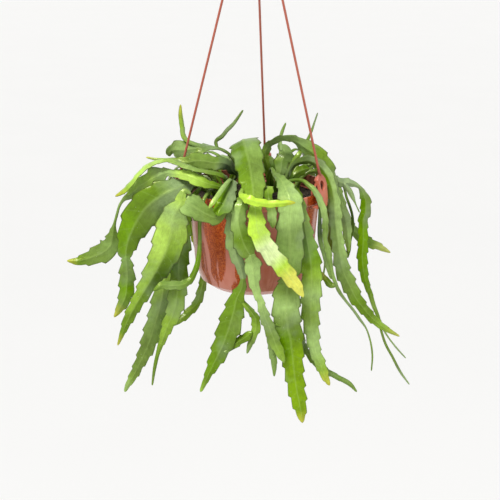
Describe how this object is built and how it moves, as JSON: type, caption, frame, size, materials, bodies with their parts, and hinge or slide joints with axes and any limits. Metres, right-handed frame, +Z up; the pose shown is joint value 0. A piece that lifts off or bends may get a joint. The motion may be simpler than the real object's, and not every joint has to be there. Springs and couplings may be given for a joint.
{
  "type": "epiphytic cactus in hanging pot",
  "caption": "Trailing epiphytic cactus with flat, toothed stems that spill over the rim of a round glossy plastic pot, which hangs by thin strands from a hook.",
  "frame": {"origin": "the seat inside the hanger's hook, where the bar that it hangs on bears, on the pot's axis", "axes": "+Z up along the pot's axis; +X to the right and -Y towards the viewer of the front, with the hook open to -X"},
  "size_m": [0.3839, 0.2379, 0.5987],
  "materials": {
    "pot_plastic": "gloss",
    "hanger_plastic": "satin",
    "potting_soil": "matte",
    "cactus_stem": "satin"
  },
  "bodies": {
    "root": {"pot": "pot_plastic", "hanger": "hanger_plastic", "potting_soil": "potting_soil", "stem_centre_arch": "cactus_stem", "stem_front_left": "cactus_stem", "stem_front_left_low": "cactus_stem", "stem_left_ribbons": "cactus_stem", "stem_left_saddle": "cactus_stem", "stem_left_hooked": "cactus_stem", "stem_left_broad_front": "cactus_stem", "stem_left_broad_rear": "cactus_stem", "stem_left_shield": "cactus_stem", "stem_left_upper": "cactus_stem", "stem_left_middle": "cactus_stem", "stem_front_long": "cactus_stem", "stem_front_right": "cactus_stem", "stem_right_slender": "cactus_stem", "stem_right_young": "cactus_stem", "stem_right_broad": "cactus_stem", "stem_right_arch": "cactus_stem", "stem_right_rear": "cactus_stem", "stem_upright_grey": "cactus_stem", "stem_upright_thin": "cactus_stem", "stem_young_centre": "cactus_stem", "stem_rear_left": "cactus_stem", "stem_back_1": "cactus_stem", "stem_back_2": "cactus_stem", "stem_back_3": "cactus_stem", "stem_back_4": "cactus_stem", "stem_back_5": "cactus_stem", "stem_back_6": "cactus_stem", "stem_back_7": "cactus_stem", "stem_back_8": "cactus_stem", "stem_back_9": "cactus_stem", "stem_back_10": "cactus_stem", "stem_back_11": "cactus_stem", "stem_back_12": "cactus_stem", "stem_back_13": "cactus_stem"}
  },
  "joints": []
}
